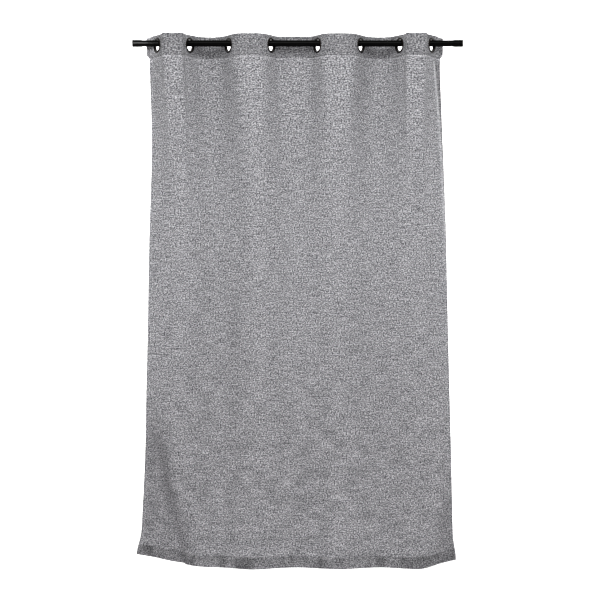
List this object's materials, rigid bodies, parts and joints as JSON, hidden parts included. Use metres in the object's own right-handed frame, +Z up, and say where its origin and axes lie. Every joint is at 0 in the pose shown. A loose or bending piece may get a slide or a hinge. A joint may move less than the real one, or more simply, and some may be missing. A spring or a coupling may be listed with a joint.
{
  "type": "curtain panel",
  "caption": "Woven fabric room curtain panel with an eyelet heading, hanging in soft vertical folds on a short black round rod; the folds draw together along the rod.",
  "frame": {"origin": "on the rod's axis, at the outer face of the left end cap", "axes": "+X along the rod to its right-hand end as seen from the room, +Y to the back of the curtain (the room side is -Y), +Z up"},
  "size_m": [1.116, 0.1332, 1.8],
  "materials": {
    "curtain_cloth": "matt woven melange grey",
    "heading_cloth": "matt woven melange grey, folded double",
    "hem_cloth": "matt woven melange grey, turned up",
    "stiffener_web": "stiff bonded interfacing",
    "eyelet_metal": "gloss black nickel",
    "rod_metal": "gloss black"
  },
  "bodies": {
    "rod": {"curtain_rod": "rod_metal", "rod_end_cap_left": "rod_metal", "rod_end_cap_right": "rod_metal"},
    "pleat_1": {"cloth_1": "curtain_cloth", "header_band_1": "heading_cloth", "stiffener_1": "stiffener_web", "bottom_hem_1": "hem_cloth", "eyelet_front_1": "eyelet_metal", "eyelet_back_1": "eyelet_metal", "side_hem_left": "hem_cloth"},
    "pleat_2": {"cloth_2": "curtain_cloth", "header_band_2": "heading_cloth", "stiffener_2": "stiffener_web", "bottom_hem_2": "hem_cloth", "eyelet_front_2": "eyelet_metal", "eyelet_back_2": "eyelet_metal"},
    "pleat_3": {"cloth_3": "curtain_cloth", "header_band_3": "heading_cloth", "stiffener_3": "stiffener_web", "bottom_hem_3": "hem_cloth", "eyelet_front_3": "eyelet_metal", "eyelet_back_3": "eyelet_metal"},
    "pleat_4": {"cloth_4": "curtain_cloth", "header_band_4": "heading_cloth", "stiffener_4": "stiffener_web", "bottom_hem_4": "hem_cloth", "eyelet_front_4": "eyelet_metal", "eyelet_back_4": "eyelet_metal"},
    "pleat_5": {"cloth_5": "curtain_cloth", "header_band_5": "heading_cloth", "stiffener_5": "stiffener_web", "bottom_hem_5": "hem_cloth", "eyelet_front_5": "eyelet_metal", "eyelet_back_5": "eyelet_metal"},
    "pleat_6": {"cloth_6": "curtain_cloth", "header_band_6": "heading_cloth", "stiffener_6": "stiffener_web", "bottom_hem_6": "hem_cloth", "eyelet_front_6": "eyelet_metal", "eyelet_back_6": "eyelet_metal"},
    "pleat_7": {"cloth_7": "curtain_cloth", "header_band_7": "heading_cloth", "stiffener_7": "stiffener_web", "bottom_hem_7": "hem_cloth", "eyelet_front_7": "eyelet_metal", "eyelet_back_7": "eyelet_metal"},
    "pleat_8": {"cloth_8": "curtain_cloth", "header_band_8": "heading_cloth", "stiffener_8": "stiffener_web", "bottom_hem_8": "hem_cloth", "eyelet_front_8": "eyelet_metal", "eyelet_back_8": "eyelet_metal", "side_hem_right": "hem_cloth"}
  },
  "joints": [
    {"name": "draw", "type": "hinge", "parent": "rod", "child": "pleat_1", "pos_m": [0.0855, 0, 0], "axis": [0, 0, -1], "range_deg": [0, 30]},
    {"name": "fold_1", "type": "hinge", "parent": "pleat_1", "child": "pleat_2", "pos_m": [0.1391, -0.0638, 0], "axis": [0, 0, 1], "range_deg": [0, 60]},
    {"name": "fold_2", "type": "hinge", "parent": "pleat_2", "child": "pleat_3", "pos_m": [0.2594, 0.0483, 0], "axis": [0, 0, -1], "range_deg": [0, 60]},
    {"name": "fold_3", "type": "hinge", "parent": "pleat_3", "child": "pleat_4", "pos_m": [0.3967, -0.0386, 0], "axis": [0, 0, 1], "range_deg": [0, 60]},
    {"name": "fold_4", "type": "hinge", "parent": "pleat_4", "child": "pleat_5", "pos_m": [0.5467, 0.0271, 0], "axis": [0, 0, -1], "range_deg": [0, 60]},
    {"name": "fold_5", "type": "hinge", "parent": "pleat_5", "child": "pleat_6", "pos_m": [0.69805, -0.0349, 0], "axis": [0, 0, 1], "range_deg": [0, 60]},
    {"name": "fold_6", "type": "hinge", "parent": "pleat_6", "child": "pleat_7", "pos_m": [0.8367, 0.0483, 0], "axis": [0, 0, -1], "range_deg": [0, 60]},
    {"name": "fold_7", "type": "hinge", "parent": "pleat_7", "child": "pleat_8", "pos_m": [0.95615, -0.0649, 0], "axis": [0, 0, 1], "range_deg": [0, 60]}
  ],
  "couplings": [
    {"joint": "fold_1", "follows": "draw", "ratio": 2},
    {"joint": "fold_2", "follows": "draw", "ratio": 2},
    {"joint": "fold_3", "follows": "draw", "ratio": 2},
    {"joint": "fold_4", "follows": "draw", "ratio": 2},
    {"joint": "fold_5", "follows": "draw", "ratio": 2},
    {"joint": "fold_6", "follows": "draw", "ratio": 2},
    {"joint": "fold_7", "follows": "draw", "ratio": 2}
  ]
}
